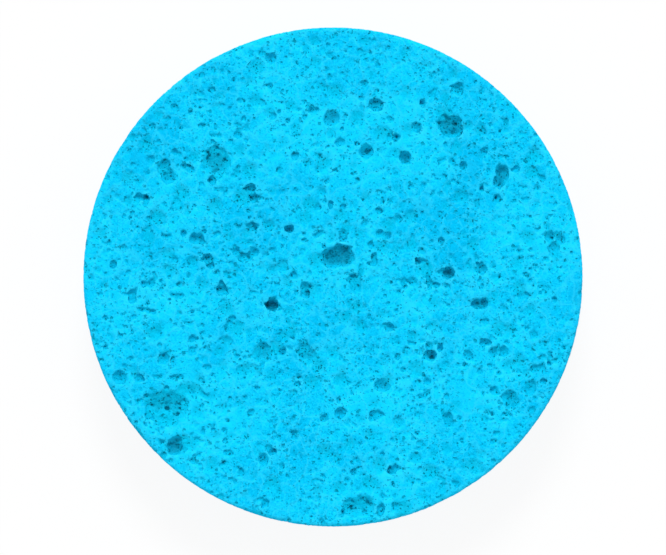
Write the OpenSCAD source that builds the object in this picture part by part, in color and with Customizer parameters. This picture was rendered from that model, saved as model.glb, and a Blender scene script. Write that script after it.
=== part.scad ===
// Round cellulose sponge that a hot soldering tip is wiped on.
// One open-celled disc, punched from a sheet. It lies flat on its lower face,
// with the origin at the centre of that face and +Z up.
// All lengths are in millimetres.

/* [Disc] */
// Diameter of the disc
disc_d = 58; // [46:1:70]
// Thickness of the swollen disc
disc_h = 10; // [7:0.5:16]
// Rounding that the punch leaves on both rims
rim_r = 0.5; // [0.2:0.1:1]

/* [Upper cells] */
// Size of the cells on the upper face, where 1 is as they are listed
upper_cell_size = 1; // [0.8:0.05:1.2]
// Solid left between a cell's mouth and the rounded rim
rim_wall = 0.2; // [0.1:0.05:1]

/* [Lower and side cells] */
// Diameter of the narrowest cell's mouth
small_cell_d = 0.6; // [0.5:0.1:1]
// Diameter of the widest mouth on the lower face
lower_cell_d = 3.6; // [1.4:0.2:4]
// Diameter of the widest mouth on the side wall
side_cell_d = 2.6; // [1.4:0.2:3]
// Distance from one cell on the lower face to the next
lower_pitch = 5; // [4:0.1:8]
// Distance from one cell on the side wall to the next
side_pitch = 4.2; // [3:0.1:8]
// Number that picks one of the random layouts
layout_seed = 7; // [1:1:50]

/* [Hidden] */

sponge_colour = [0.05, 0.80, 0.98];
golden_angle = 137.508;
wide_cell_rarity = 3;
disc_fn = 180;
cell_fn = 20;
rim_fn = 24;
side_sink = 0.2;
disc_r = disc_d / 2;
face_r = disc_r - rim_r - rim_wall;

// The cells of the upper face were laid out on a disc of this diameter.
layout_d = 58;

// A large cell is one round lobe, or several that run into each other:
// [radius of each mouth, sink, [centre of each lobe]].
// The sink says how far a lobe's centre lies below the face, as a share of its
// radius: 0.5 is a deep cell, 0 a half ball and -0.5 a shallow dish. Where a dish
// opens into a deeper cell, both are listed.
middle_cells = [
  [1.2, -0.1, [[-0.3, 2.2], [0.5, 2.3], [1.3, 2.3]]],
  [0.8, 0.2, [[0.8, 3], [1.3, 2.9]]],
  [0.7, 0.3, [[-0.5, 2.3]]],
  [0.9, -0.4, [[2.5, -0.3], [2.6, -1.1]]],
  [0.65, 0.5, [[-7.1, -3.2]]],
  [0.45, 0.5, [[-5.1, 5.5]]],
  [0.45, 0.3, [[5.5, 5.1], [6.3, 4.8]]],
  [0.45, 0.2, [[1.2, 5.2], [1.2, 4.5]]],
  [0.55, 0.3, [[-3.2, -1.1], [-3.2, -1.8]]],
  [0.5, 0.1, [[-4.6, 0.1]]],
  [0.5, 0.4, [[-9.3, 5.8]]],
  [0.55, -0.2, [[8.2, -0.5], [9.2, -0.5]]],
  [0.45, 0.1, [[11.2, -0.7], [12, -0.9]]],
  [1.25, -0.5, [[-8.1, -8.9]]],
  [0.7, 0, [[-8, -8.2]]],
  [1.1, -0.5, [[-3.2, -9], [-2.8, -9.2]]],
  [0.65, 0, [[-3.3, -8.2], [-3.2, -8.7]]],
  [0.45, 0.1, [[-1.7, 8.1]]],
  [0.45, 0.1, [[5.3, 7.7]]]
];
north_cells = [
  [0.95, -0.2, [[-0.4, 18.3], [-0.1, 18.4]]],
  [0.6, 0, [[-0.6, 18.7], [0, 18.8]]],
  [0.8, 0, [[5, 20]]],
  [0.65, 0, [[-7.2, 25.3]]],
  [0.7, 0.2, [[8.3, 13.9]]],
  [0.5, 0.1, [[6.6, 16.2], [7.4, 16.2]]],
  [0.65, -0.1, [[3.9, 14.5]]],
  [0.7, -0.2, [[9.7, 17.4]]],
  [0.6, 0.3, [[-9.5, 10.3], [-9.3, 9.2]]],
  [0.5, 0.2, [[-4.4, 14]]],
  [0.5, 0.1, [[0.7, 15.6]]],
  [0.45, 0.1, [[3.6, 22.5]]]
];
north_east_cells = [
  [0.95, 0, [[13.1, 17.7], [14.1, 17.8], [14.2, 17.1], [13.4, 17.1]]],
  [0.45, 0.2, [[12.6, 18.3]]],
  [0.5, -0.3, [[15.8, 17.7], [15.7, 17.3]]],
  [0.75, 0.1, [[19.5, 12.3], [19.6, 11.6], [19.3, 11.1]]],
  [0.75, 0, [[14.6, 21.9]]],
  [0.7, -0.1, [[25.1, 4.8], [25.6, 3.4], [26.3, 4.4]]],
  [0.45, 0.4, [[15, 12.9]]],
  [0.5, 0, [[17.6, 14.6]]],
  [0.5, -0.2, [[11.5, 21.2]]],
  [0.5, 0, [[19, 9.1]]]
];
east_cells = [
  [0.6, 0.3, [[16.7, -3.1], [17.4, -3.1]]],
  [0.65, 0.1, [[17.3, 0.9]]],
  [0.75, 0, [[11.3, -9.1]]],
  [0.6, 0, [[15.8, -9.1]]],
  [0.7, -0.2, [[18.6, -8.7], [19.7, -8.7]]],
  [0.45, 0.1, [[21.6, -2.1], [22.4, -2.1]]]
];
south_east_cells = [
  [0.65, 0, [[13.3, -16.2], [13.4, -16.8]]],
  [0.4, -0.2, [[14.7, -16.4]]],
  [0.95, -0.3, [[20.5, -14], [20.8, -14.4]]],
  [0.8, -0.3, [[22.9, -13.1], [23, -12.6]]],
  [0.55, 0, [[23.3, -10.6], [24.2, -10.6]]],
  [0.6, -0.1, [[18.7, -13.2]]],
  [0.95, -0.3, [[5.7, -12.6]]],
  [0.5, -0.3, [[23, -15.4]]]
];
south_cells = [
  [1.3, -0.6, [[2.3, -26.8], [3.6, -26.6]]],
  [0.5, 0.1, [[7.3, -26.6]]],
  [0.45, 0.2, [[-7.9, -26.2]]],
  [0.7, 0, [[-8, -21.1]]],
  [0.35, 0.3, [[-4.5, -18.1], [-4.5, -18.7]]],
  [0.45, 0.3, [[4.7, -15.9], [5.4, -15.9]]],
  [0.65, 0, [[0.9, -15.8]]],
  [0.45, 0.1, [[-1.1, -16.4]]],
  [0.5, 0, [[-10.7, -22.7]]]
];
south_west_cells = [
  [1.7, -0.65, [[-20.4, -14.9], [-19.2, -14.6], [-18.2, -14.9]]],
  [1, 0, [[-18.4, -19.7], [-18.6, -20.1]]],
  [0.7, 0.1, [[-18.2, -19.1]]],
  [0.4, 0.1, [[-17.3, -18.7], [-17.2, -19.4], [-17.3, -20]]],
  [0.4, 0.1, [[-19.9, -19.2]]],
  [0.9, -0.3, [[-24.7, -11.7]]],
  [0.5, 0, [[-22.6, -11.7]]],
  [0.75, -0.2, [[-19.6, -9.5]]],
  [0.45, 0.2, [[-16.3, -7.1]]],
  [0.35, 0.4, [[-11.6, -4.8], [-11.9, -5.4], [-12.3, -6]]]
];
west_cells = [
  [0.45, 0.3, [[-23.3, -1.8], [-23.3, -2.5]]],
  [0.65, 0.2, [[-12.9, -1.4]]],
  [0.45, 0.1, [[-21.9, -0.8], [-21.1, -0.8]]],
  [0.35, 0.2, [[-22, -3.8], [-21.4, -3.9], [-20.8, -4]]],
  [0.5, 0, [[-25.6, 1.4]]],
  [0.6, 0.2, [[-16.1, 4.4], [-15.4, 4.4]]],
  [0.5, 0.3, [[-14.6, 2.2], [-14.2, 1.4]]],
  [0.5, 0.2, [[-11.2, 3], [-10.5, 2.3], [-9.8, 2.3], [-9.1, 2.9]]],
  [0.5, 0.1, [[-18.4, 2.1]]]
];
north_west_cells = [
  [0.5, 0.1, [[-14.4, 14.5], [-13.6, 14.9], [-12.8, 14.5]]],
  [0.85, -0.2, [[-19.6, 12.8], [-19.2, 12], [-19.1, 11.5]]],
  [0.5, 0.3, [[-22.5, 9.3], [-21.7, 9.1]]],
  [0.5, 0, [[-17.1, 12.9], [-16.6, 12.5]]],
  [0.5, 0.3, [[-14, 11.2]]],
  [0.5, 0, [[-21.2, 13.7]]],
  [0.4, 0.2, [[-14, 21.8]]],
  [0.5, 0, [[-11.1, 16.5]]]
];
large_cells = concat(
  middle_cells, north_cells, north_east_cells, east_cells, south_east_cells,
  south_cells, south_west_cells, west_cells, north_west_cells
);

// A middling cell is round or oblong:
// [x, y, width of the mouth, height of the mouth, tilt].
middling_sink = 0.4;
middling_cells = [
  // north
  [-2.3, 19.4, 1.3, 0.6, 0], [-6.9, 18.6, 0.6, 0.8, 0], [-6.1, 12.4, 0.4, 0.8, 0],
  // north-east
  [21.2, 12.5, 0.8, 0.8, 0], [20.1, 17.9, 0.5, 1, 0], [17.4, 16.8, 0.8, 0.7, 0],
  [17.2, 10.4, 0.4, 1, 0], [22, 10.4, 1.1, 0.4, 0], [22.7, 13.5, 0.8, 0.4, 0],
  [10.4, 20.3, 0.7, 0.7, 0],
  // east
  [25.7, -2.6, 0.6, 0.8, 0], [12.4, -8.2, 0.8, 0.8, 0], [12.6, 4.3, 0.8, 0.8, 0],
  [17.6, -7.6, 1.3, 0.8, 0], [25, -9.5, 0.4, 1.9, 0], [13.4, 0.8, 0.7, 0.5, 0],
  // south-east
  [20.1, -15.9, 0.8, 0.5, 0], [14.3, -23.9, 1.1, 0.5, 0], [12.6, -23.4, 1.2, 0.4, -35],
  // south
  [-7, -20.2, 0.8, 0.8, 0], [0.6, -14.3, 0.5, 0.8, 0], [2.4, -22.6, 0.8, 0.7, 0],
  [7, -22.3, 1.6, 0.8, 30], [-2, -23.6, 1, 0.4, 0], [-4.1, -12.4, 0.8, 0.5, 0],
  [5.5, -27, 0.7, 1.3, 0], [8.1, -26.4, 0.8, 0.4, 0], [1.3, -27.2, 0.8, 0.7, 0],
  // south-west
  [-20.3, -11.6, 1.2, 0.4, 0], [-18.2, -11.6, 1.6, 0.5, 0], [-16.5, -13.2, 0.6, 0.9, 0],
  [-15, -13.6, 1.4, 0.5, -25], [-14.7, -10.4, 1.1, 0.5, 0], [-19.7, -20.7, 1.2, 0.8, 60],
  [-21.5, -16.1, 0.6, 0.9, 0], [-18.5, -9.6, 0.5, 1, 0],
  // west
  [-17.3, 5.1, 0.7, 0.8, 0], [-16.8, -5.4, 0.9, 0.4, 0], [-20.2, -6.5, 0.8, 0.6, 0],
  [-19.3, 4.8, 1.2, 0.5, 0],
  // north-west
  [-18.4, 14.5, 0.8, 0.7, 0], [-15.2, 17.6, 0.9, 0.5, 0], [-13.6, 16.5, 1.3, 0.4, 0],
  [-11.2, 12.1, 0.5, 0.8, 0],
  // middle
  [4.4, 3.6, 0.9, 0.5, -45], [4.8, 2.1, 0.6, 1.4, 0], [10.1, 1.9, 1.2, 0.7, 0],
  [-0.3, 8.4, 0.6, 1, 0], [1.1, 8.2, 0.7, 0.7, 0], [-7.8, 2.7, 0.8, 0.4, 0],
  [-5.6, 1.7, 0.5, 0.8, 0], [-5.8, -8.6, 0.8, 0.8, 0], [-4.6, -6.6, 0.5, 1.2, -15],
  [6.6, -5.8, 0.8, 0.8, 0], [9.2, -7.6, 0.8, 0.5, 0], [-9.3, -1.7, 0.9, 0.4, 0],
  [-1.7, 5, 1.5, 0.6, 30]
];
// Cells that the cut has only just opened, in the same form.
shallow_sink = -0.65;
shallow_cells = [
  [1.3, 13.9, 1.1, 0.8, 0], [-13.6, 13.4, 3.6, 3.6, 0], [14.9, 4.8, 1.4, 0.8, 30],
  [13.8, 24.1, 1.8, 0.5, -45], [-16.4, 1.7, 1.6, 1.8, 0], [-23.8, 8.8, 1.3, 1.3, 0],
  [-12.3, -7.5, 1.6, 1.6, 0], [-6.5, 1, 2.8, 1.6, 20]
];

// The lobes of an oblong cell, each as [x, y], strung along its longer way.
function oblong_lobes(cell) =
  let (
    mouth_r = min(cell[2], cell[3]) / 2,
    reach = max(cell[2], cell[3]) / 2 - mouth_r,
    steps = round(2 * reach / mouth_r),
    angle = cell[4] + (cell[2] < cell[3] ? 90 : 0)
  )
  [
    for (i = [0 : steps])
      let (along = steps == 0 ? 0 : reach * (2 * i / steps - 1))
      [cell[0] + along * cos(angle), cell[1] + along * sin(angle)]
  ];
function as_lobed(cells, sink) =
  [for (cell = cells) [min(cell[2], cell[3]) / 2, sink, oblong_lobes(cell)]];

// Each lobe as [x, y, mouth radius, sink]. A cell's first lobe keeps its share of
// the disc, and its other lobes keep their distance from the first.
upper_cells = concat(
  large_cells,
  as_lobed(middling_cells, middling_sink),
  as_lobed(shallow_cells, shallow_sink)
);
upper_lobes = [
  for (cell = upper_cells, lobe = cell[2])
    let (
      start = cell[2][0] * disc_d / layout_d,
      place = start + (lobe - cell[2][0]) * upper_cell_size,
      mouth_r = cell[0] * upper_cell_size
    )
    if (norm(place) + mouth_r < face_r)
      [place.x, place.y, mouth_r, cell[1]]
];

// Random mouth radii, with many narrow cells to each wide one.
function mouth_radii(widest_d, count, seed) =
  [
    for (share = rands(0, 1, count, seed))
      (small_cell_d + (widest_d - small_cell_d) * pow(share, wide_cell_rarity)) / 2
  ];

// Lobes in a loose spiral that fills the lower face.
function lower_lobes() =
  let (
    count = floor(pow(2 * face_r / lower_pitch, 2)),
    turn = rands(-20, 20, count, layout_seed),
    mouth = mouth_radii(lower_cell_d, count, layout_seed + 1),
    sink = rands(-0.1, 0.4, count, layout_seed + 2)
  )
  [
    for (i = [0 : count - 1])
      let (
        ring_r = face_r * sqrt((i + 0.5) / count),
        angle = i * golden_angle + turn[i]
      )
      if (ring_r + mouth[i] < face_r)
        [ring_r * cos(angle), ring_r * sin(angle), mouth[i], sink[i]]
  ];

// Hollows of the lobes [x, y, mouth radius, sink] that open in the plane z = 0
// and lie below it.
module hollows(lobes) {
  for (lobe = lobes) {
    ball_r = lobe[2] / sqrt(1 - pow(lobe[3], 2));
    translate([lobe.x, lobe.y, -lobe[3] * ball_r])
      sphere(r = ball_r, $fn = cell_fn);
  }
}

// Cells around the side wall, in rows that are shifted against each other.
module side_hollows() {
  band = disc_h - 2 * (rim_r + rim_wall);
  rows = max(1, round(band / side_pitch));
  per_row = floor(PI * disc_d / side_pitch);
  step = 360 / per_row;
  for (row = [0 : rows - 1]) {
    seed = layout_seed + 20 + 3 * row;
    turn = rands(-step / 3, step / 3, per_row, seed);
    rise = rands(-1, 1, per_row, seed + 1);
    mouth = mouth_radii(side_cell_d, per_row, seed + 2);
    row_z = disc_h / 2 + (row - (rows - 1) / 2) * band / rows;
    for (i = [0 : per_row - 1]) {
      play = max(0, band / rows / 2 - mouth[i]);
      rotate(step * (i + row / 2) + turn[i])
        translate([disc_r, 0, row_z + play * rise[i]])
          rotate([0, 90, 0])
            hollows([[0, 0, mouth[i], side_sink]]);
    }
  }
}

// The punched disc before its cells are opened.
module blank() {
  rotate_extrude($fn = disc_fn) {
    square([disc_r - rim_r, disc_h]);
    translate([0, rim_r])
      square([disc_r, disc_h - 2 * rim_r]);
    for (z = [rim_r, disc_h - rim_r])
      translate([disc_r - rim_r, z])
        circle(r = rim_r, $fn = rim_fn);
  }
}

module sponge() {
  color(sponge_colour)
    difference() {
      blank();
      translate([0, 0, disc_h])
        hollows(upper_lobes);
      mirror([0, 0, 1])
        hollows(lower_lobes());
      side_hollows();
    }
}

sponge();
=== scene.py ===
"""Finish of a round cellulose sponge that a hot soldering tip is wiped on.

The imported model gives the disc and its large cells. Geometry Nodes turn them into
swollen cellulose: the round cells are bent out of shape, smaller cells open between
them, and every wall gets its pits. The nodes work in millimetres, as do the values
here where nothing else is said, and the finished mesh is in metres.
"""
from math import cos, radians, sin

import bpy
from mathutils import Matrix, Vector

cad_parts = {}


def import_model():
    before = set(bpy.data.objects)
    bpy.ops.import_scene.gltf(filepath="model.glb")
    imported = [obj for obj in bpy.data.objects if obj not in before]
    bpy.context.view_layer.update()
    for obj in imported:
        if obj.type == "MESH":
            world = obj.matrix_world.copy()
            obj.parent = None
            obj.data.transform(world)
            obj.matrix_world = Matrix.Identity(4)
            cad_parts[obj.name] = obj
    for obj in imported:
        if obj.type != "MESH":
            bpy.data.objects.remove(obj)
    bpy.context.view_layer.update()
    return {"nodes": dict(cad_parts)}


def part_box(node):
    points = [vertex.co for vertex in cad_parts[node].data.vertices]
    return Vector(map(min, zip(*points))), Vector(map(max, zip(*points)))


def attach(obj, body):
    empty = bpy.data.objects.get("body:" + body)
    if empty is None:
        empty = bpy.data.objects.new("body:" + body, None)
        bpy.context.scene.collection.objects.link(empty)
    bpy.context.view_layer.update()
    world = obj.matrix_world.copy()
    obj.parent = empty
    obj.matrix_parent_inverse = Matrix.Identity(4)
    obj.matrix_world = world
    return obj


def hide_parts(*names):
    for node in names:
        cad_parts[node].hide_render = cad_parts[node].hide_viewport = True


MM = 0.001

# A range is given as the value at which an effect starts, and the one at which it is
# full. A scale is the number of a pattern's waves to a millimetre.

# Body. The disc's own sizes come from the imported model, in place of the ones here.
DISC_R = 29.0
DISC_H = 10.0
RIM_R = 0.5
VOXEL = 0.12
BAND_VOXELS = 8
BLOCK_MARGIN = 0.6
LIP_ROUNDING = 0.12
TRIANGLES_MOST = 196000
SPECK_POINTS = 50

# Bends of the cells: the width of a bend, how far it pushes, and a shift that keeps
# one size of bend apart from the next. They ease off towards the disc's outside.
BENDS = [(1.7, 0.28, 3.0), (0.75, 0.18, 11.0), (0.34, 0.15, 17.0)]
BEND_DETAIL = 1.0
BEND_EASE = (0.1, 1.2)

# Fraying around the side, and the distance in from it at which it starts and is full
FRAY_SCALE = 2.8
FRAY_DETAIL = 1.0
FRAY_RANGE = (0.45, 0.75)
FRAY_DEPTH = 0.15
FRAY_FADE = (0.6, 0.1)

# Middling cells of the upper face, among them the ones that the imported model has: x,
# y, width and height of the mouth, and the tilt in degrees of one that leans. The sink
# is how far a cell's centre lies below the face, as a share of its radius.
DEEP_SINK = 0.5
OPEN_SINK = 0.15
SHALLOW_SINK = -0.62
DEEP_CELLS = [
    (-19.2, -12.9, 0.5, 0.5), (-4.1, -8.7, 0.4, 0.5), (-6.3, -3.3, 0.5, 0.4),
    (24.5, -12.1, 0.7, 0.6), (19.2, 0.0, 0.5, 0.4), (11.0, -0.1, 0.7, 0.6),
    (12.4, 0.6, 0.5, 0.6), (13.2, -10.0, 0.5, 0.5), (3.0, -25.6, 0.4, 0.4),
    (-5.9, -22.0, 0.5, 0.5), (-12.7, -21.5, 0.5, 0.5), (16.2, -21.6, 0.6, 0.4),
    (13.1, 15.5, 0.4, 0.4), (14.0, 15.3, 0.4, 0.4), (5.8, 4.5, 0.4, 0.4),
]
OPEN_CELLS = [
    # north
    (5.2, 24.6, 0.7, 0.7), (4.1, 24.1, 0.4, 0.4), (4.8, 27.4, 0.7, 0.6),
    (-4.9, 25.7, 0.7, 0.4), (-6.9, 18.6, 0.6, 0.8), (-5.6, 17.5, 0.5, 0.5),
    (-2.3, 19.4, 1.3, 0.6), (2.4, 12.1, 0.7, 0.4), (2.8, 11.2, 0.5, 0.7),
    (6.5, 12.3, 0.5, 0.5), (7.4, 12.0, 0.6, 0.4), (-1.6, 14.1, 0.4, 0.4),
    (2.1, 18.2, 0.4, 0.4), (-1.7, 12.7, 0.5, 0.4), (-4.2, 10.2, 0.6, 0.6),
    (-6.1, 12.4, 0.4, 0.8), (-9.5, 14.2, 0.5, 0.5), (1.5, 22.6, 0.4, 0.4),
    (5.9, 22.2, 0.4, 0.4), (2.8, 25.1, 0.4, 0.4), (-3.5, 23.5, 0.5, 0.4),
    (-3.0, 23.0, 0.4, 0.4), (-4.1, 23.1, 0.4, 0.4), (9.6, 24.1, 0.5, 0.4),
    # north-east
    (21.2, 12.5, 0.8, 0.8), (20.1, 17.9, 0.5, 1.0), (17.4, 16.8, 0.8, 0.7),
    (18.4, 16.7, 0.4, 0.4), (16.5, 15.2, 0.4, 0.6), (12.7, 22.6, 0.4, 0.6),
    (10.4, 20.3, 0.7, 0.7), (17.2, 21.4, 0.5, 0.5), (11.1, 19.6, 0.4, 0.4),
    (17.3, 18.7, 0.4, 0.4), (22.7, 13.5, 0.8, 0.4), (21.4, 13.1, 0.4, 0.4),
    (19.3, 13.9, 0.6, 0.6), (17.2, 10.4, 0.4, 1.0), (23.6, 10.4, 0.8, 0.5),
    (22.0, 10.4, 1.1, 0.4), (18.1, 12.4, 0.5, 0.5), (20.5, 7.8, 0.7, 0.4),
    (21.5, 6.7, 0.5, 0.5), (21.5, 9.4, 0.4, 0.4), (12.4, 6.9, 0.5, 0.5),
    # east
    (17.8, 2.3, 0.4, 0.5), (16.5, 2.5, 0.7, 0.4), (14.1, -0.6, 0.6, 0.6),
    (13.4, 0.8, 0.7, 0.5), (19.7, -3.4, 0.6, 0.6), (15.4, -4.9, 0.5, 0.5),
    (24.3, -4.8, 0.4, 0.4), (23.9, -5.8, 0.4, 0.4), (23.0, -6.4, 0.4, 0.4),
    (25.7, -2.6, 0.6, 0.8), (12.4, -8.2, 0.8, 0.8), (11.8, -7.7, 0.4, 0.4),
    (10.5, -7.4, 0.8, 0.4), (21.5, -9.2, 0.5, 0.6), (25.0, -9.5, 0.4, 1.9),
    (21.4, -7.7, 0.4, 0.4), (26.8, -8.1, 0.6, 0.6), (14.6, 4.2, 0.4, 0.4),
    (12.6, 4.3, 0.8, 0.8), (22.3, 1.3, 0.4, 0.4), (22.3, 0.2, 0.4, 0.6),
    (25.3, 0.8, 0.7, 0.4), (15.2, 2.4, 0.7, 0.4), (26.3, -0.5, 0.4, 0.4),
    (17.6, -7.6, 1.3, 0.8), (10.5, -2.3, 0.6, 0.4),
    # south-east
    (20.1, -15.9, 0.8, 0.5), (14.5, -10.2, 0.6, 0.4), (17.3, -22.5, 0.6, 0.6),
    (14.3, -23.9, 1.1, 0.5), (12.6, -23.4, 1.2, 0.4, -35), (13.0, -24.6, 0.4, 0.4),
    (17.7, -17.5, 0.4, 0.4), (11.8, -18.5, 0.4, 0.4), (11.2, -20.0, 0.4, 0.5),
    (13.2, -18.0, 0.4, 0.4), (10.2, -10.6, 0.6, 0.4), (12.7, -15.6, 0.4, 0.6),
    (13.3, -11.5, 0.4, 0.4), (13.8, -11.9, 0.4, 0.4), (13.2, -12.2, 0.4, 0.4),
    # south
    (-7.0, -20.2, 0.8, 0.8), (-7.3, -19.7, 0.4, 0.4), (-8.5, -19.5, 0.6, 0.4),
    (-4.6, -22.3, 0.5, 0.5), (0.6, -14.3, 0.5, 0.8), (0.5, -17.7, 0.6, 0.4),
    (2.4, -22.6, 0.8, 0.7), (1.8, -18.6, 0.4, 0.4), (2.5, -19.2, 0.4, 0.4),
    (4.4, -21.1, 0.4, 0.4), (5.0, -21.5, 0.4, 0.4), (5.7, -21.2, 0.4, 0.4),
    (7.0, -22.3, 1.6, 0.8, 30), (-2.0, -23.6, 1.0, 0.4), (-4.8, -13.5, 0.5, 0.7),
    (-4.3, -14.6, 0.4, 0.4), (-8.6, -14.4, 0.6, 0.4), (-4.1, -12.4, 0.8, 0.5),
    (5.2, -14.7, 0.4, 0.4), (7.3, -11.9, 0.5, 0.5), (8.2, -11.8, 0.4, 0.4),
    (8.2, -10.7, 0.6, 0.6), (0.9, -27.6, 0.4, 0.4), (7.6, -27.3, 0.4, 0.4),
    (5.5, -27.0, 0.7, 1.3), (-4.4, -20.8, 0.5, 0.5), (8.2, -26.4, 0.8, 0.4),
    (1.3, -27.2, 0.8, 0.7),
    # south-west
    (-21.5, -11.7, 0.5, 0.4), (-20.3, -11.6, 1.2, 0.4), (-18.2, -11.6, 1.6, 0.5),
    (-16.5, -13.2, 0.6, 0.9), (-15.0, -13.6, 1.4, 0.5, -25), (-12.8, -15.2, 0.5, 0.5),
    (-11.9, -15.1, 0.4, 0.4), (-14.7, -10.4, 1.1, 0.5), (-14.6, -17.4, 0.4, 0.4),
    (-12.6, -17.8, 0.6, 0.6), (-15.3, -19.1, 0.6, 0.4), (-13.9, -22.0, 0.4, 0.4),
    (-15.5, -21.7, 0.5, 0.5), (-15.2, -23.4, 0.5, 0.5), (-19.7, -20.7, 1.2, 0.8, 60),
    (-21.2, -15.9, 0.6, 0.9), (-18.5, -9.6, 0.5, 1.0),
    # west
    (-17.3, 5.1, 0.7, 0.8), (-26.6, -0.9, 0.5, 0.7), (-24.5, -4.3, 0.4, 0.4),
    (-26.4, -4.7, 0.6, 0.6), (-19.0, -2.7, 0.5, 0.5), (-17.8, -4.3, 0.7, 0.4),
    (-15.4, -4.0, 0.6, 0.4), (-12.4, -6.3, 0.4, 0.4), (-16.8, -5.4, 0.9, 0.4),
    (-20.2, -6.5, 0.8, 0.6), (-24.7, -7.0, 0.5, 0.5), (-25.7, -7.1, 0.4, 0.6),
    (-23.8, -7.9, 0.5, 0.5), (-20.1, -8.0, 0.6, 0.6), (-23.4, -9.4, 0.6, 0.6),
    (-12.1, -8.3, 0.4, 0.4), (-24.8, 9.3, 0.4, 0.4), (-26.5, 7.1, 0.5, 0.5),
    (-18.5, 8.5, 0.6, 0.6), (-21.3, 6.3, 0.4, 0.6), (-15.5, 2.7, 0.4, 0.4),
    (-12.7, -2.8, 0.6, 0.6), (-11.3, 0.4, 0.4, 0.5), (-15.9, 3.3, 0.6, 0.4),
    (-19.3, 4.8, 1.2, 0.5),
    # north-west
    (-18.4, 14.5, 0.8, 0.7), (-20.5, 14.4, 0.5, 0.5), (-19.2, 15.3, 0.4, 0.4),
    (-20.2, 15.7, 0.5, 0.5), (-15.4, 14.4, 0.4, 0.6), (-13.6, 20.7, 0.5, 0.5),
    (-12.9, 24.0, 0.6, 0.6), (-11.5, 22.8, 0.6, 0.6), (-10.7, 20.6, 0.6, 0.4),
    (-12.0, 19.6, 0.5, 0.5), (-15.2, 17.6, 0.9, 0.5), (-13.6, 17.5, 0.4, 0.6),
    (-13.6, 16.5, 1.3, 0.4), (-17.7, 17.4, 0.6, 0.6), (-21.5, 16.5, 0.5, 0.5),
    (-21.5, 12.1, 0.6, 0.6), (-23.4, 12.2, 0.5, 0.5), (-15.2, 10.9, 0.6, 0.4),
    (-12.2, 11.8, 0.4, 0.4), (-11.2, 12.1, 0.5, 0.8), (-19.6, 19.6, 0.5, 0.4),
    # middle
    (-2.8, 0.4, 0.5, 0.7), (-1.6, -1.1, 0.5, 0.5), (-0.2, 4.2, 0.7, 0.5),
    (-3.5, 4.3, 0.6, 0.6), (4.4, 3.6, 0.9, 0.5, -45), (2.6, 3.9, 0.4, 0.4),
    (4.8, 2.1, 0.6, 1.4), (10.1, 1.9, 1.2, 0.7), (-1.8, 8.6, 0.5, 0.5),
    (-0.3, 8.4, 0.6, 1.0), (1.1, 8.2, 0.7, 0.7), (0.3, 6.7, 0.7, 0.5),
    (-7.7, 8.9, 0.5, 0.5), (-7.1, 8.9, 0.4, 0.4), (-7.8, 2.7, 0.8, 0.4),
    (-5.9, 1.5, 0.5, 0.8), (-5.8, -8.6, 0.8, 0.8), (-4.6, -6.6, 0.5, 1.2, -15),
    (-3.6, -6.9, 0.4, 0.4), (-1.7, -6.8, 0.5, 0.5), (-1.8, -8.3, 0.4, 0.4),
    (-0.6, -4.8, 0.4, 0.4), (6.4, -3.1, 0.5, 0.5), (7.3, -3.1, 0.4, 0.4),
    (4.5, -5.7, 0.6, 0.4), (6.6, -5.8, 0.8, 0.8), (3.2, -5.3, 0.6, 0.6),
    (4.5, -8.6, 0.6, 0.4), (6.4, -9.3, 0.5, 0.5), (9.2, -7.6, 0.8, 0.5),
    (7.5, -9.2, 0.7, 0.7), (6.3, 6.9, 0.4, 0.4), (6.9, 6.6, 0.4, 0.4),
    (8.9, 8.5, 0.5, 0.5), (-9.3, -1.7, 0.9, 0.4), (-1.7, 5.0, 1.5, 0.6, 30),
]
SHALLOW_CELLS = [
    (1.3, 13.9, 1.1, 0.8), (-13.4, 12.9, 3.2, 3.0), (-22.4, 11.1, 0.9, 0.9),
    (-16.5, 15.7, 1.3, 0.6), (14.9, 4.8, 1.4, 0.8, 30), (16.5, 5.1, 1.2, 0.6),
    (13.8, 24.1, 1.8, 0.5, -45), (12.9, 13.8, 1.4, 0.5), (19.0, 19.5, 0.8, 0.4),
    (-19.8, 2.2, 1.2, 0.6), (-16.4, 1.7, 1.6, 1.8), (-18.6, 6.4, 0.9, 0.8),
    (-27.4, 0.8, 1.0, 1.2), (-27.4, -6.4, 0.7, 0.7), (-25.8, 8.8, 0.8, 0.8),
    (-23.8, 8.8, 1.3, 1.3), (-12.3, -7.5, 1.6, 1.6), (4.3, -0.3, 0.9, 0.9),
    (-8.7, -6.0, 1.1, 0.7), (9.2, -5.3, 1.4, 0.8), (4.4, 8.7, 0.8, 0.8),
    (18.4, 1.7, 0.8, 0.8), (14.6, -2.5, 1.0, 1.0), (24.4, -8.4, 0.8, 0.8),
    (25.9, -7.3, 1.9, 0.5), (20.7, 1.7, 0.7, 0.9), (-16.0, -17.2, 0.8, 0.8),
    (-11.5, -21.3, 0.6, 0.6), (5.5, -18.3, 0.9, 0.9), (3.3, -16.6, 1.1, 1.1),
    (11.0, 24.4, 0.9, 0.9), (-6.5, 1.0, 2.8, 1.6, 20), (-19.3, -16.6, 3.2, 1.8),
    (9.0, 7.0, 2.2, 1.8), (-9.0, 20.5, 2.0, 1.6), (7.6, -16.8, 2.0, 1.6),
    (-10.4, -10.8, 2.0, 1.5), (-7.3, 5.9, 1.8, 1.6), (14.8, 9.3, 2.4, 2.0),
    (1.0, -11.9, 2.2, 1.8), (-1.0, -20.4, 2.2, 1.8), (9.6, -21.0, 2.0, 1.6),
]

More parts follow.
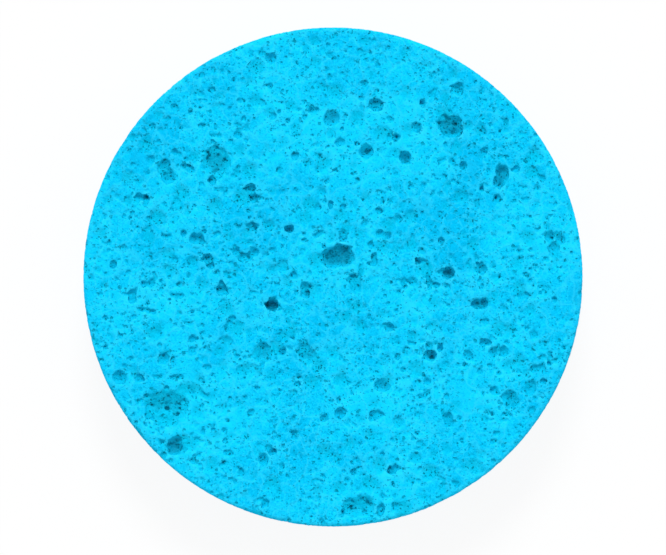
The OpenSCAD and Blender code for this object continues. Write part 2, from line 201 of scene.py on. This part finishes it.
# Cells that are only scattered: how deep below the disc's skin they still open, how
# many to a square millimetre, the narrowest and the widest mouth, how far their centres
# lie below the face as a share of their radius, the least drift in which they gather,
# and a seed. Each kind uses the two seeds after its own as well.
SCATTERED_CELLS = [
    {"deepest": 0.02, "density": 0.12, "least_d": 0.40, "most_d": 0.95,
     "sink": -0.05, "gathered": 0.42, "seed": 5},
    {"deepest": 9.00, "density": 1.60, "least_d": 0.28, "most_d": 0.55,
     "sink": 0.30, "gathered": 0.50, "seed": 15},
    {"deepest": 0.02, "density": 0.24, "least_d": 0.80, "most_d": 2.40,
     "sink": -0.86, "gathered": 0.30, "seed": 25},
]
DRIFT_SCALE = 0.28
DRIFT_SPREAD = 0.1

# Marks on the surface, from which the material paints shade and a highlight. The space over a
# point is felt at three distances, and a wall thinner than a given one gets a painted highlight,
# standing in for the light it would let through.
MARK_VOXEL = 0.2
OPEN_REACHES = (0.3, 0.7, 1.3)
OPEN_RANGE = (-0.2, 0.95)
THIN_WALL = 0.5
THIN_RANGE = (-0.9, -0.4)

# What the marks paint into the colour: painted shade where the space over a point is closed in
# and where it lies sunk, darker painted shade deeper in the cells, and a painted highlight on
# thin walls. The sunken and the deep painted shade go by the depth.
OCCLUSION_SHADE_RANGE = (0.95, 0.45)
SUNKEN_SHADE_RANGE = (0.05, 0.25)
SUNKEN_SHADE_MOST = 0.7
DEEP_SHADE_RANGE = (0.5, 0.95)
THIN_WALL_HIGHLIGHT_SHARE = 0.7

# Pits: the distance from one to the next, the widest as a share of it, how strong they
# are anywhere, and how much is added in patches and in the walls of cells. Their hollows
# make bumps and also darken the colour as painted shade in the pits.
PITS = [(0.75, 0.36, 0.85, 0.0, 0.0), (0.44, 0.42, 0.32, 0.4, 0.5), (0.28, 0.5, 0.22, 0.4, 0.6)]
PIT_BEND = 0.3
PIT_BEND_SCALE = 2.2
PIT_EDGE = (1.0, 0.45)
# How far the pits darken the colour, as painted shade
PIT_SHADE_STRENGTH = 0.9

# Films around closed cells: the distance from one to the next, how much the tone varies
# from cell to cell, how strong the lines are anywhere, and how much is added in patches
FILMS = [(1.3, 0.10, 0.1, 0.4), (3.2, 0.12, 0.4, 0.0)]
FILM_BEND = 0.9
FILM_BEND_SHARE = 1.5
FILM_EDGE = (0.07, 0.01)

# Grain, tone and patches
PATTERN_DETAIL = 2.0
GRAIN_SCALE = 4.4
GRAIN_DETAIL = 3.0
GRAIN_ROUGHNESS = 0.7
GRAIN_HEIGHT = 0.35
SPECKLE_RANGE = (0.36, 0.64)
TONE_SCALE = 0.09
TONE_SHARE = 0.7
LIGHTNESS_RANGE = (0.38, 0.60)
PATCH_SCALE = 0.35
PATCH_DETAIL = 3.0
PATCH_RANGE = (0.35, 0.65)
BUMP_STRENGTH = 0.8
BUMP_HEIGHT = 0.15
ROUGHNESS = 0.85
SPECULAR = 0.02

# Colours as a display shows them, from 0 to 255. The wall and pit colours are painted shade, and
# the film colour serves also as a painted highlight on thin walls.
FACE_DARK = (0, 183, 235)
FACE_LIGHT = (12, 208, 255)
FILM_AND_THIN_WALL_HIGHLIGHT = (48, 216, 255)
SHALLOW_WALL_SHADE_DARK = (0, 172, 205)
SHALLOW_WALL_SHADE_LIGHT = (0, 196, 235)
DEEP_WALL_SHADE_DARK = (0, 86, 108)
DEEP_WALL_SHADE_LIGHT = (0, 128, 158)
FACE_PIT_SHADE = (0, 146, 178)
WALL_PIT_SHADE = (0, 90, 108)

# Picture: pixels, the sensor's width in millimetres, and metres for the camera
PICTURE_W = 666
PICTURE_H = 555
SPONGE_PICTURE_D = 500
SPONGE_PICTURE_X = 333
SPONGE_PICTURE_Y = 277
SENSOR_W = 36
CAMERA_DISTANCE = 1.2
CAMERA_REACH = 10

# Room: half the floor's width in metres, and the lights, with angles in degrees
FLOOR_HALF_W = 0.6
FLOOR_WHITE = (0.9, 0.9, 0.9, 1)
FLOOR_GLOW = 0.9
WHITE = (1, 1, 1, 1)
SKY_STRENGTH = 0.67
SUN_STRENGTH = 2.05
SUN_ANGLE = 20
SUN_TILT = -45


# Node building

class Number:
    """A number that nodes work out, so that a formula on it reads as one."""

    def __init__(self, socket):
        self.socket = socket

    def _with(self, operation, *numbers):
        return number(self.socket.id_data, operation, *numbers)

    def __add__(self, other):
        return self._with("ADD", self, other)

    def __sub__(self, other):
        return self._with("SUBTRACT", self, other)

    def __rsub__(self, other):
        return self._with("SUBTRACT", other, self)

    def __mul__(self, other):
        return self._with("MULTIPLY", self, other)

    def __truediv__(self, other):
        return self._with("DIVIDE", self, other)

    def __rtruediv__(self, other):
        return self._with("DIVIDE", other, self)


def add(tree, kind, inputs=(), **settings):
    """Adds a node, sets or links its inputs, and returns the node.

    The inputs are a tuple in the node's own order, or a dict by name.
    """
    node = tree.nodes.new(kind)
    for name, value in settings.items():
        setattr(node, name, value)
    live = [socket for socket in node.inputs if socket.enabled]
    if isinstance(inputs, dict):
        named = {socket.name: socket for socket in live}
        pairs = [(named[name], value) for name, value in inputs.items()]
    else:
        pairs = zip(live, inputs)
    for socket, value in pairs:
        if isinstance(value, Number):
            value = value.socket
        if isinstance(value, bpy.types.NodeSocket):
            tree.links.new(value, socket)
        else:
            socket.default_value = value
    return node


def made(tree, kind, inputs=(), **settings):
    """Adds a node and returns its first output."""
    node = add(tree, kind, inputs, **settings)
    return next(socket for socket in node.outputs if socket.enabled)


def number(tree, operation, *inputs):
    return Number(made(tree, "ShaderNodeMath", inputs, operation=operation))


def greatest(tree, first, *others):
    for other in others:
        first = number(tree, "MAXIMUM", first, other)
    return first


def vector(tree, operation, *inputs):
    return made(tree, "ShaderNodeVectorMath", inputs, operation=operation)


def times(tree, arrow, factor):
    return made(tree, "ShaderNodeVectorMath", {"Vector": arrow, "Scale": factor},
                operation="SCALE")


def ramp(tree, value, low, high, out_low=0.0, out_high=1.0):
    """The value's way from low to high, kept between the two outer values."""
    return Number(made(tree, "ShaderNodeMapRange", {
        "Value": value, "From Min": low, "From Max": high,
        "To Min": out_low, "To Max": out_high}))


def noise(tree, place, scale, detail, **more):
    """Smooth noise: its outputs are Fac, a number, and Color, three of them."""
    return add(tree, "ShaderNodeTexNoise", {
        "Vector": place, "Scale": scale, "Detail": detail, **more}).outputs


def centred_noise(tree, place, scale, detail):
    """A vector of noise around nought, at most a half each way."""
    return vector(tree, "SUBTRACT", noise(tree, place, scale, detail)["Color"], (0.5, 0.5, 0.5))


def group_input(tree, kind, name, value=None):
    socket = tree.interface.new_socket(name, in_out="INPUT", socket_type="NodeSocket" + kind)
    if value is not None:
        socket.default_value = value
    return socket.identifier


# Geometry Nodes on the body

def body_tree(name, *more_inputs):
    """A tree that works on the body: itself, its inputs' identifiers and its inputs."""
    tree = bpy.data.node_groups.new(name, "GeometryNodeTree")
    identifiers = {}
    for kind, label, *value in (
            ("Geometry", "Body"), ("Float", "Disc Radius", DISC_R),
            ("Float", "Disc Height", DISC_H), ("Float", "Rim Radius", RIM_R),
            ("Material", "Material"), *more_inputs):
        identifiers[label] = group_input(tree, kind, label, *value)
    tree.interface.new_socket("Body", in_out="OUTPUT", socket_type="NodeSocketGeometry")
    return tree, identifiers, add(tree, "NodeGroupInput").outputs


def end_tree(tree, shape, material):
    """Ends a tree on a body in millimetres: back to metres, plain, with its material."""
    small = made(tree, "GeometryNodeTransform", {"Geometry": shape, "Scale": (MM,) * 3})
    plain = made(tree, "GeometryNodeRealizeInstances", (small,))
    coated = made(tree, "GeometryNodeSetMaterial", {"Geometry": plain, "Material": material})
    add(tree, "NodeGroupOutput", (coated,))


def settle(body):
    """Works the body's modifiers into its mesh, as plain data."""
    evaluated = body.evaluated_get(bpy.context.evaluated_depsgraph_get())
    mesh = bpy.data.meshes.new_from_object(evaluated)
    mesh.name = body.name
    body.modifiers.clear()
    body.data = mesh


def work_in(body, tree, identifiers, values):
    """Works a tree on the body into its mesh, with the given values for its inputs."""
    modifier = body.modifiers.new(tree.name, "NODES")
    modifier.node_group = tree
    for label, value in values.items():
        modifier[identifiers[label]] = value
    settle(body)


def disc_places(tree, place, disc_r, disc_h, rim_r):
    """How far a place lies outside the disc without cells, and in from its side and faces."""
    x, y, z = [Number(s) for s in add(tree, "ShaderNodeSeparateXYZ", (place,)).outputs]
    in_from_side = disc_r - number(tree, "SQRT", x * x + y * y)
    in_from_face = disc_h * 0.5 - number(tree, "ABSOLUTE", z - disc_h * 0.5)
    past_side = number(tree, "MAXIMUM", rim_r - in_from_side, 0.0)
    past_face = number(tree, "MAXIMUM", rim_r - in_from_face, 0.0)
    outside = number(tree, "SQRT", past_side * past_side + past_face * past_face)
    inside = number(tree, "MAXIMUM", number(
        tree, "MINIMUM", in_from_side, in_from_face) - rim_r, 0.0)
    return outside - inside - rim_r, in_from_side, in_from_face


def bending(tree, place, in_from_side, in_from_face, size, reach, shift):
    """A push that bends round cells out of shape and leaves the disc's outside in place."""
    shifted = vector(tree, "ADD", place, (shift,) * 3)
    push = centred_noise(tree, shifted, 1 / size, BEND_DETAIL)
    near_side = ramp(tree, in_from_side, *BEND_EASE, 0.0, 2 * reach)
    near_face = ramp(tree, in_from_face, *BEND_EASE, 0.0, 2 * reach)
    ease = made(tree, "ShaderNodeCombineXYZ", (near_side, near_side, near_face))
    return vector(tree, "MULTIPLY", push, ease)


def sampled(tree, grid, place, voxel):
    """A grid's value at a place. The grid's values lie half a voxel off its corners."""
    half = made(tree, "ShaderNodeCombineXYZ", (voxel * 0.5,) * 3)
    moved = vector(tree, "SUBTRACT", place, half)
    return Number(made(tree, "GeometryNodeSampleGrid", {"Grid": grid, "Position": moved}))


def ball_radius(mouth_r, sink):
    """Radius of the ball that opens in a mouth, when its centre is sunk by a share of it."""
    return mouth_r / (1 - sink * sink) ** 0.5


def scattered_cells(tree, faces, disc_size, deepest, density, least_d, most_d, sink,
                    gathered, seed):
    """Dots in drifts over faces, each with the radius of a cell and sunk by its share."""
    dots = add(tree, "GeometryNodeDistributePointsOnFaces", {
        "Mesh": faces, "Density": density, "Seed": seed}, distribute_method="RANDOM")
    place = made(tree, "GeometryNodeInputPosition")
    drift = Number(noise(tree, place, DRIFT_SCALE, PATTERN_DETAIL)["Fac"])
    chance = Number(made(tree, "FunctionNodeRandomValue", {
        "Min": -DRIFT_SPREAD, "Max": DRIFT_SPREAD, "Seed": seed + 2}))
    outside, _, _ = disc_places(tree, place, *disc_size)
    bare = greatest(tree, number(tree, "LESS_THAN", drift + chance, gathered),
                    number(tree, "LESS_THAN", outside, -deepest))
    stray = Number(made(tree, "FunctionNodeRandomValue", {"Seed": seed + 1}))
    mouth_r = (stray * stray * stray * (most_d - least_d) + least_d) * 0.5
    sized = made(tree, "GeometryNodeSetPointRadius", {
        "Points": dots.outputs["Points"], "Radius": ball_radius(mouth_r, sink)})
    kept = made(tree, "GeometryNodeDeleteGeometry", {
        "Geometry": sized, "Selection": bare}, domain="POINT")
    sunk = Number(made(tree, "GeometryNodeInputRadius")) * -sink
    return made(tree, "GeometryNodeSetPosition", {
        "Geometry": kept, "Offset": times(tree, dots.outputs["Normal"], sunk)})


def small_cell_grid(tree, solid, listed, disc_size, voxel):
    """The distance to the listed and the scattered cells, as a grid."""
    listed_dots = made(tree, "GeometryNodeMeshToPoints", {
        "Mesh": add(tree, "GeometryNodeObjectInfo", {"Object": listed}).outputs["Geometry"],
        "Radius": made(tree, "GeometryNodeInputNamedAttribute", {"Name": "cell_radius"},
                       data_type="FLOAT")})
    dots = add(tree, "GeometryNodeJoinGeometry")
    tree.links.new(listed_dots, dots.inputs[0])
    for cells in SCATTERED_CELLS:
        scattered = scattered_cells(tree, solid, disc_size, **cells)
        tree.links.new(scattered, dots.inputs[0])
    return made(tree, "GeometryNodePointsToSDFGrid", {
        "Points": dots.outputs[0], "Radius": made(tree, "GeometryNodeInputRadius"),
        "Voxel Size": voxel})


def cell_tree():
    """Bends the solid's cells and opens the smaller ones."""
    tree, identifiers, given = body_tree(
        "open_cells", ("Object", "Cells"), ("Float", "Voxel", VOXEL), ("Float", "Bend", 1.0))
    disc_r, disc_h, rim_r, voxel, bend = [Number(given[label]) for label in (
        "Disc Radius", "Disc Height", "Rim Radius", "Voxel", "Bend")]
    disc_size = (disc_r, disc_h, rim_r)
    place = made(tree, "GeometryNodeInputPosition")
    solid = made(tree, "GeometryNodeTransform", {
        "Geometry": given["Body"], "Scale": (1 / MM,) * 3})

    disc, in_from_side, in_from_face = disc_places(tree, place, *disc_size)
    broad, medium, fine = [
        bending(tree, place, in_from_side, in_from_face, *sizes) for sizes in BENDS]
    push = vector(tree, "ADD", vector(tree, "ADD", broad, medium), fine)
    bent = vector(tree, "ADD", place, times(tree, push, bend))
    fray = Number(noise(tree, place, FRAY_SCALE, FRAY_DETAIL)["Fac"])
    frayed = disc + (ramp(tree, fray, *FRAY_RANGE, 0.0, FRAY_DEPTH)
                     * ramp(tree, in_from_side, *FRAY_FADE))

    large_grid = made(tree, "GeometryNodeMeshToSDFGrid", {
        "Mesh": solid, "Voxel Size": voxel, "Band Width": BAND_VOXELS})
    small_grid = small_cell_grid(tree, solid, given["Cells"], disc_size, voxel)
    large_cells = sampled(tree, large_grid, bent, voxel)
    small_cells = sampled(tree, small_grid, bent, voxel)
    carved = number(tree, "SMOOTH_MAX", frayed, large_cells, LIP_ROUNDING)
    cellulose = number(tree, "SMOOTH_MAX", carved, small_cells * -1.0, LIP_ROUNDING)

    out = disc_r + BLOCK_MARGIN
    low = made(tree, "ShaderNodeCombineXYZ", (
        -BLOCK_MARGIN - disc_r, -BLOCK_MARGIN - disc_r, -BLOCK_MARGIN))
    high = made(tree, "ShaderNodeCombineXYZ", (out, out, disc_h + BLOCK_MARGIN))
    across = number(tree, "ROUND", (disc_r * 2 + 2 * BLOCK_MARGIN) / voxel)
    up = number(tree, "ROUND", (disc_h + 2 * BLOCK_MARGIN) / voxel)
    block = made(tree, "GeometryNodeVolumeCube", {
        "Density": cellulose * -1.0, "Background": -1.0, "Min": low, "Max": high,
        "Resolution X": across, "Resolution Y": across, "Resolution Z": up})
    skin = made(tree, "GeometryNodeVolumeToMesh", {
        "Volume": block, "Threshold": 0.0, "Adaptivity": 0.0}, resolution_mode="GRID")
    end_tree(tree, skin, given["Material"])
    return tree, identifiers


def listed_cells(face_z):
    """Dots at the centres of the listed cells, each with its cell's radius."""
    dots = []
    for cells, sink in ((DEEP_CELLS, DEEP_SINK), (OPEN_CELLS, OPEN_SINK),
                        (SHALLOW_CELLS, SHALLOW_SINK)):
        for x, y, width, height, *tilt in cells:
            mouth_r = min(width, height) / 2
            ball_r = ball_radius(mouth_r, sink)
            reach = max(width, height) / 2 - mouth_r
            angle = radians((0 if width > height else 90) + (tilt[0] if tilt else 0))
            count = 1 + round(2 * reach / mouth_r)
            for i in range(count):
                along = reach * (2 * i / (count - 1) - 1) if count > 1 else 0
                spot = (x + along * cos(angle), y + along * sin(angle), face_z - sink * ball_r)
                dots.append((spot, ball_r))
    mesh = bpy.data.meshes.new("listed_cells")
    mesh.from_pydata([spot for spot, _ in dots], [], [])
    radii = mesh.attributes.new("cell_radius", "FLOAT", "POINT")
    radii.data.foreach_set("value", [radius for _, radius in dots])
    return bpy.data.objects.new("listed_cells", mesh)


def thin_out(body):
    """Drops the triangles that flat stretches don't need."""
    count = sum(len(face.vertices) - 2 for face in body.data.polygons)
    if count > TRIANGLES_MOST:
        thinning = body.modifiers.new("thinning", "DECIMATE")
        thinning.ratio = TRIANGLES_MOST / count
        settle(body)


def without_specks(tree, shape):
    """The shape without the loose specks of a few points that the thinning leaves."""
    island = made(tree, "GeometryNodeInputMeshIsland")
    counted = add(tree, "GeometryNodeAccumulateField", {"Value": 1.0, "Group ID": island},
                  data_type="FLOAT", domain="POINT").outputs
    points = next(socket for socket in counted if socket.enabled and socket.name == "Total")
    return made(tree, "GeometryNodeDeleteGeometry", {
        "Geometry": shape, "Selection": number(tree, "LESS_THAN", points, SPECK_POINTS)},
        domain="POINT")


def marking_tree():
    """Marks how open the space over each point is, how deep it lies and how thin its wall is."""
    tree, identifiers, given = body_tree("marking", ("Float", "Voxel", MARK_VOXEL))
    voxel = Number(given["Voxel"])
    large = made(tree, "GeometryNodeTransform", {
        "Geometry": without_specks(tree, given["Body"]), "Scale": (1 / MM,) * 3})
    grid = made(tree, "GeometryNodeMeshToSDFGrid", {
        "Mesh": large, "Voxel Size": voxel, "Band Width": BAND_VOXELS})
    place = made(tree, "GeometryNodeInputPosition")
    normal = made(tree, "GeometryNodeInputNormal")
    shares = []
    for reach in OPEN_REACHES:
        over = vector(tree, "ADD", place, times(tree, normal, reach))
        shares.append(ramp(tree, sampled(tree, grid, over, voxel) / reach, *OPEN_RANGE))
    near, medium, far = shares
    under = vector(tree, "SUBTRACT", place, times(tree, normal, THIN_WALL))
    behind = sampled(tree, grid, under, voxel) / THIN_WALL
    outside, _, _ = disc_places(tree, place, *[
        Number(given[label]) for label in ("Disc Radius", "Disc Height", "Rim Radius")])
    marked = large
    for name, value in (("openness", (near + medium + far) / 3), ("depth", outside * -1.0),
                        ("thinness", ramp(tree, behind, *THIN_RANGE))):
        marked = made(tree, "GeometryNodeStoreNamedAttribute", {
            "Geometry": marked, "Name": name, "Value": value},
            data_type="FLOAT", domain="POINT")
    end_tree(tree, marked, given["Material"])
    return tree, identifiers


def make_body(node, disc_r, disc_h):
    """The sponge as one mesh, with its cells opened and its surface marked."""
    body = bpy.data.objects.new("cellulose", node.data.copy())
    body.data.materials.clear()
    bpy.context.scene.collection.objects.link(body)
    values = {"Disc Radius": disc_r, "Disc Height": disc_h, "Material": cellulose_material()}
    cells = listed_cells(disc_h)
    work_in(body, *cell_tree(), {**values, "Cells": cells})
    bpy.data.objects.remove(cells)
    thin_out(body)
    work_in(body, *marking_tree(), values)
    body.data.shade_smooth()
    return body


# Materials

def linear(colour):
    """The linear value of a colour that is given as a display shows it."""
    shares = [part / 255 for part in colour]
    return (*[s / 12.92 if s <= 0.04045 else ((s + 0.055) / 1.055) ** 2.4 for s in shares], 1)


def mixed(tree, factor, low, high):
    return made(tree, "ShaderNodeMix", (factor, low, high), data_type="RGBA")


def attribute(tree, name):
    return Number(add(tree, "ShaderNodeAttribute", attribute_name=name).outputs["Fac"])


def object_place(tree):
    """The place on the piece in millimetres."""
    return times(tree, add(tree, "ShaderNodeTexCoord").outputs["Object"], 1 / MM)


def pit_group():
    """Tiny pits in a surface, as a mask of their hollows, for bumps and for painted shade in the
    pits.
    """
    tree = bpy.data.node_groups.new("pits", "ShaderNodeTree")
    for name, *value in (("Spacing",), ("Widest",), ("Bend", PIT_BEND)):
        group_input(tree, "Float", name, *value)
    tree.interface.new_socket("Hollow", in_out="OUTPUT", socket_type="NodeSocketFloat")
    given = add(tree, "NodeGroupInput").outputs
    spacing, widest, bend = [Number(given[name]) for name in ("Spacing", "Widest", "Bend")]
    place = object_place(tree)
    push = times(tree, centred_noise(tree, place, PIT_BEND_SCALE, PATTERN_DETAIL), bend * 2)
    cells = add(tree, "ShaderNodeTexVoronoi", {
        "Vector": vector(tree, "ADD", place, push), "Scale": 1 / spacing,
        "Randomness": 1.0}).outputs
    chance = Number(made(tree, "ShaderNodeSeparateColor", (cells["Color"],)))
    size = chance * chance * widest
    add(tree, "NodeGroupOutput", (ramp(tree, Number(cells["Distance"]) / size, *PIT_EDGE),))
    return tree


def film_group():
    """Films around the closed cells just under a surface: their lines, and each cell's tone."""
    tree = bpy.data.node_groups.new("films", "ShaderNodeTree")
    group_input(tree, "Float", "Spacing")
    for name in ("Line", "Tone"):
        tree.interface.new_socket(name, in_out="OUTPUT", socket_type="NodeSocketFloat")
    spacing = Number(add(tree, "NodeGroupInput").outputs["Spacing"])
    place = object_place(tree)
    push = times(tree, centred_noise(tree, place, FILM_BEND_SHARE / spacing, PATTERN_DETAIL),
                 spacing * FILM_BEND)
    bent = vector(tree, "ADD", place, push)
    edges = add(tree, "ShaderNodeTexVoronoi", {
        "Vector": bent, "Scale": 1 / spacing}, feature="DISTANCE_TO_EDGE").outputs
    cells = add(tree, "ShaderNodeTexVoronoi", {"Vector": bent, "Scale": 1 / spacing}).outputs
    tone = made(tree, "ShaderNodeSeparateColor", (cells["Color"],))
    add(tree, "NodeGroupOutput", (ramp(tree, edges["Distance"], *FILM_EDGE), tone))
    return tree


def cellulose_material():
    material = bpy.data.materials.new("cellulose")
    material.use_nodes = True
    tree = material.node_tree
    tree.nodes.clear()
    place = object_place(tree)
    depth = attribute(tree, "depth")
    # Painted shade: darker where the space over a point is closed in, and where it lies sunk
    # below the disc's face
    occlusion_shade = ramp(tree, attribute(tree, "openness"), *OCCLUSION_SHADE_RANGE)
    sunken_shade = ramp(tree, depth, *SUNKEN_SHADE_RANGE, 0.0, SUNKEN_SHADE_MOST)
    recess_shade = 1 - (1 - occlusion_shade) * (1 - sunken_shade)
    patch = ramp(tree, noise(tree, place, PATCH_SCALE, PATCH_DETAIL)["Fac"], *PATCH_RANGE)
    grain = Number(noise(tree, place, GRAIN_SCALE, GRAIN_DETAIL,
                         Roughness=GRAIN_ROUGHNESS)["Fac"])

    pits = pit_group()
    hollows = []
    for spacing, widest, strength, in_patches, in_walls in PITS:
        hollow = Number(made(tree, "ShaderNodeGroup", {
            "Spacing": spacing, "Widest": widest}, node_tree=pits))
        hollows.append(hollow * (patch * in_patches + strength + recess_shade * in_walls))
    hollow = greatest(tree, *hollows)
    bump = made(tree, "ShaderNodeBump", {
        "Strength": BUMP_STRENGTH, "Distance": BUMP_HEIGHT * MM,
        "Height": grain * GRAIN_HEIGHT - hollow})

    films = film_group()
    lines = []
    tone = Number(noise(tree, place, TONE_SCALE, PATTERN_DETAIL)["Fac"])
    for spacing, variation, strength, in_patches in FILMS:
        film = add(tree, "ShaderNodeGroup", {"Spacing": spacing}, node_tree=films).outputs
        lines.append(Number(film["Line"]) * (patch * in_patches + strength))
        tone = tone + (Number(film["Tone"]) - 0.5) * variation
    # Painted highlight on thin walls, for the light they would let through, together with the
    # lighter film lines
    thin_wall_highlight_and_films = greatest(tree, attribute(tree, "thinness") * THIN_WALL_HIGHLIGHT_SHARE, *lines)
    lightness = ramp(tree, grain + (tone - 0.5) * TONE_SHARE, *LIGHTNESS_RANGE)
    speckle = ramp(tree, grain, *SPECKLE_RANGE)

    plain = mixed(tree, lightness, linear(FACE_DARK), linear(FACE_LIGHT))
    face = mixed(tree, thin_wall_highlight_and_films, plain, linear(FILM_AND_THIN_WALL_HIGHLIGHT))
    # Painted shade on the cells' walls, darker further down
    shallow_wall_shade = mixed(tree, speckle, linear(SHALLOW_WALL_SHADE_DARK), linear(SHALLOW_WALL_SHADE_LIGHT))
    deep_wall_shade = mixed(tree, speckle, linear(DEEP_WALL_SHADE_DARK), linear(DEEP_WALL_SHADE_LIGHT))
    wall_shade = mixed(tree, ramp(tree, depth, *DEEP_SHADE_RANGE), shallow_wall_shade, deep_wall_shade)
    # Painted shade in the pits, darker in the walls of cells
    pit_shade = mixed(tree, recess_shade, linear(FACE_PIT_SHADE), linear(WALL_PIT_SHADE))
    colour = mixed(tree, hollow * PIT_SHADE_STRENGTH, mixed(tree, recess_shade, face, wall_shade), pit_shade)
    shader = made(tree, "ShaderNodeBsdfPrincipled", {
        "Base Color": colour, "Roughness": ROUGHNESS, "Specular IOR Level": SPECULAR,
        "Normal": bump})
    add(tree, "ShaderNodeOutputMaterial", {"Surface": shader})
    return material


def floor_material():
    """White, with a faint shadow."""
    material = bpy.data.materials.new("white_floor")
    material.use_nodes = True
    tree = material.node_tree
    tree.nodes.clear()
    matt = made(tree, "ShaderNodeBsdfDiffuse", {"Color": FLOOR_WHITE})
    white = made(tree, "ShaderNodeEmission", {"Color": WHITE, "Strength": 1.0})
    rays = add(tree, "ShaderNodeLightPath").outputs
    seen = greatest(tree, rays["Is Camera Ray"], rays["Is Glossy Ray"],
                    rays["Is Transmission Ray"])
    both = made(tree, "ShaderNodeMixShader", (seen * FLOOR_GLOW, matt, white))
    add(tree, "ShaderNodeOutputMaterial", {"Surface": both})
    return material


# Room

def make_floor():
    mesh = bpy.data.meshes.new("floor")
    half = FLOOR_HALF_W
    mesh.from_pydata([(-half, -half, 0), (half, -half, 0), (half, half, 0), (-half, half, 0)],
                     [], [(0, 1, 2, 3)])
    floor = bpy.data.objects.new("floor", mesh)
    floor.data.materials.append(floor_material())
    bpy.context.scene.collection.objects.link(floor)


def make_light():
    world = bpy.data.worlds.new("soft_room")
    bpy.context.scene.world = world
    world.use_nodes = True
    sky = world.node_tree.nodes["Background"]
    sky.inputs["Color"].default_value = WHITE
    sky.inputs["Strength"].default_value = SKY_STRENGTH
    sun = bpy.data.lights.new("window", "SUN")
    sun.energy = SUN_STRENGTH
    sun.angle = radians(SUN_ANGLE)
    lamp = bpy.data.objects.new("window", sun)
    lamp.rotation_euler = (radians(SUN_TILT), 0, 0)
    bpy.context.scene.collection.objects.link(lamp)


def make_camera(disc_d, disc_h):
    """Looks straight down on the disc, which spans as much of the picture as it should."""
    view_w = disc_d * PICTURE_W / SPONGE_PICTURE_D
    step = view_w / PICTURE_W
    lens = bpy.data.cameras.new("camera")
    lens.sensor_width = SENSOR_W
    lens.lens = SENSOR_W * CAMERA_DISTANCE / view_w
    lens.clip_end = CAMERA_REACH
    camera = bpy.data.objects.new("camera", lens)
    camera.location = ((PICTURE_W / 2 - SPONGE_PICTURE_X) * step,
                       (SPONGE_PICTURE_Y - PICTURE_H / 2) * step,
                       disc_h + CAMERA_DISTANCE)
    bpy.context.scene.collection.objects.link(camera)
    bpy.context.scene.camera = camera


def main():
    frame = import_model()
    low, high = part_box("sponge")
    disc_d = high.x - low.x
    disc_h = high.z - low.z
    body = make_body(frame["nodes"]["sponge"], disc_d / 2 / MM, disc_h / MM)
    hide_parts("sponge")
    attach(body, "root")
    make_floor()
    make_light()
    make_camera(disc_d, disc_h)
    bpy.context.scene.view_settings.view_transform = "Standard"


main()
